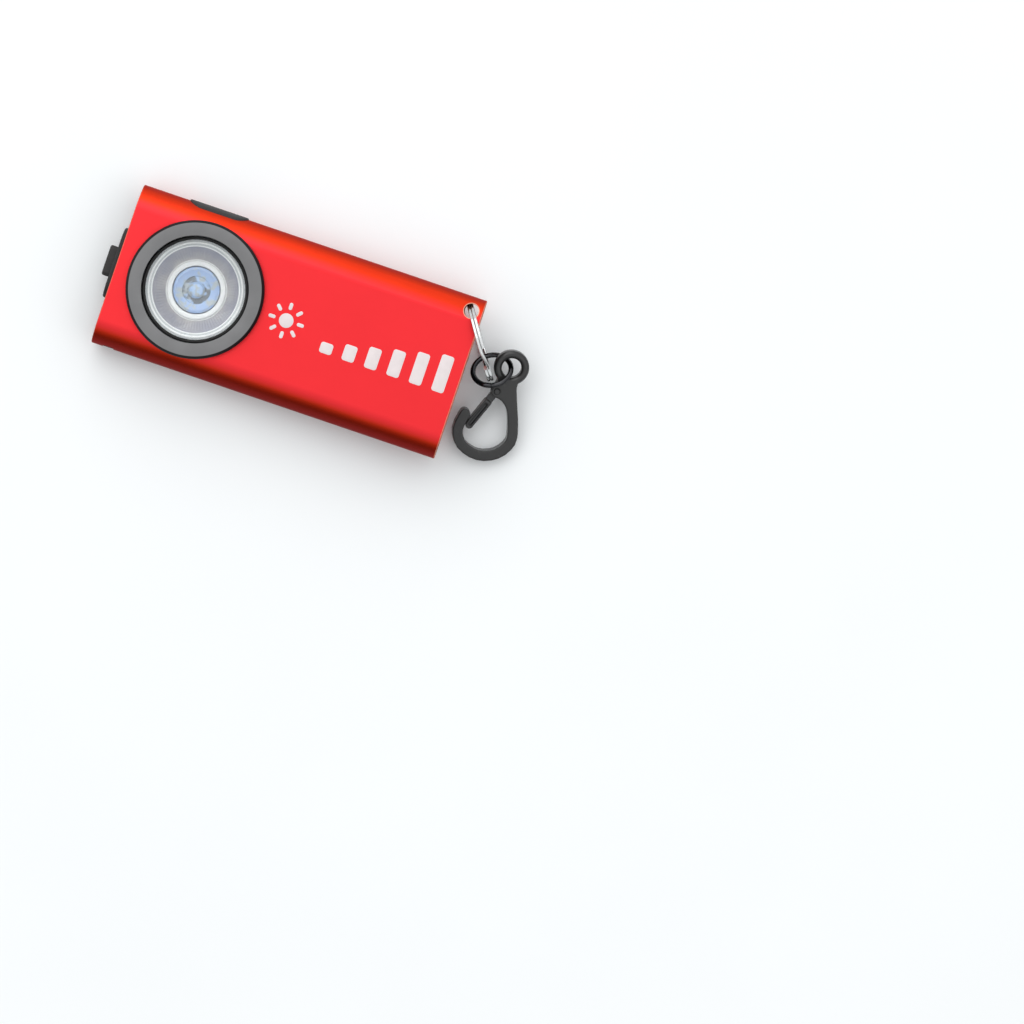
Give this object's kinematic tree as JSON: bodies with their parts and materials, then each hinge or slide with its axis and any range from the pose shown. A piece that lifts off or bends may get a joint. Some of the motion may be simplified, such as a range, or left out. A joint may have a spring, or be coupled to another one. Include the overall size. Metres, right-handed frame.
{
  "type": "keychain flashlight",
  "caption": "Flat rechargeable keychain flashlight with a round lens bezel, end push button, side port cover, split ring, link ring and snap clip.",
  "frame": {"origin": "centre of the flat back face of the body tube", "axes": "+X along the tube from the push button to the key-ring end, +Y towards the charging port, +Z out of the lens"},
  "size_m": [0.0765, 0.0288, 0.0141],
  "materials": {
    "anodised_red": "satin red anodised",
    "bezel_grey": "satin grey anodised, dark chamfer",
    "black_rubber": "matt moulded silicone rubber",
    "black_plastic": "fine matt moulded plastic",
    "white_plastic": "matt",
    "clear_window": "clear polished polycarbonate",
    "reflector_plastic": "frosted translucent, fine radial flutes",
    "clear_optic": "clear polished acrylic, pale blue tint",
    "led_phosphor": "matt phosphor under a clear dome",
    "board_white": "white solder mask",
    "board_green": "green solder mask",
    "thermal_pad": "matt soft pad",
    "foam_grey": "matt foam and ferrite grey",
    "capacitor_tan": "satin ceramic",
    "cell_foil": "satin aluminium laminate",
    "wire_red": "satin insulation",
    "wire_black": "satin insulation",
    "nickel_steel": "nickel plated, slightly worn",
    "black_nickel": "polished black nickel",
    "black_clip": "satin black over die-cast zinc"
  },
  "bodies": {
    "housing": {"body_tube": "anodised_red", "button_end_cap": "black_plastic", "ring_end_cap": "black_plastic", "button_end_seal": "black_rubber", "ring_end_seal": "black_rubber", "button_pad": "black_rubber", "switch_body": "black_plastic", "bezel_ring": "bezel_grey", "lens_seal": "black_rubber", "lens_window": "clear_window", "reflector": "reflector_plastic", "collimator_lens": "clear_optic", "led_emitter": "led_phosphor", "led_board": "board_white", "main_board": "board_green", "heat_pad": "thermal_pad", "charge_chip": "black_plastic", "driver_chip": "black_plastic", "power_inductor": "foam_grey", "capacitor_1": "capacitor_tan", "capacitor_2": "capacitor_tan", "capacitor_3": "capacitor_tan", "usb_shell": "nickel_steel", "usb_tongue": "black_plastic", "port_frame": "black_plastic", "battery_cell": "cell_foil", "battery_tray": "black_plastic", "battery_foam": "foam_grey", "protection_board": "board_green", "battery_lead_red": "wire_red", "battery_lead_black": "wire_black"},
    "button": {"power_button": "black_rubber"},
    "plunger": {"switch_plunger": "white_plastic"},
    "cover": {"port_cover": "black_rubber"},
    "ring": {"split_ring": "nickel_steel"},
    "link": {"link_ring": "black_nickel"},
    "clip": {"clip_body": "black_clip", "clip_gate_pin": "black_clip"},
    "gate": {"clip_gate": "black_clip"}
  },
  "joints": [
    {"name": "button_press", "type": "slide", "parent": "housing", "child": "button", "axis": [1, 0, 0], "range_m": [0, 0.0005], "stiffness_N_per_m": 200, "springref_m": -0.0005},
    {"name": "plunger_travel", "type": "slide", "parent": "housing", "child": "plunger", "axis": [1, 0, 0], "range_m": [0, 0.0005]},
    {"name": "cover_hinge", "type": "hinge", "parent": "housing", "child": "cover", "pos_m": [-0.01215, 0.01445, 0.0044], "axis": [0, 0, -1], "range_deg": [0, 110], "stiffness_Nm_per_rad": 0.0002},
    {"name": "ring_swing", "type": "hinge", "parent": "housing", "child": "ring", "pos_m": [0.029, 0.01175, 0.0044], "axis": [0, 0, 1], "range_deg": [0, 170]},
    {"name": "link_swing", "type": "hinge", "parent": "ring", "child": "link", "pos_m": [0.03553, 0.00206, 0.00275], "axis": [0.1438, -0.2132, 0.9664], "range_deg": [0, 30]},
    {"name": "clip_swing", "type": "hinge", "parent": "link", "child": "clip", "pos_m": [0.03836, 0.00495, 0.0019], "axis": [0.394, -0.6824, 0.6157], "range_deg": [0, 25]},
    {"name": "gate_open", "type": "hinge", "parent": "clip", "child": "gate", "pos_m": [0.03734, 0.00028, 0.00118], "axis": [0.1805, -0.1987, 0.9633], "range_deg": [0, 30], "stiffness_Nm_per_rad": 0.0005, "springref_deg": -17.19}
  ],
  "couplings": [
    {"joint": "plunger_travel", "follows": "button_press", "ratio": 1}
  ]
}
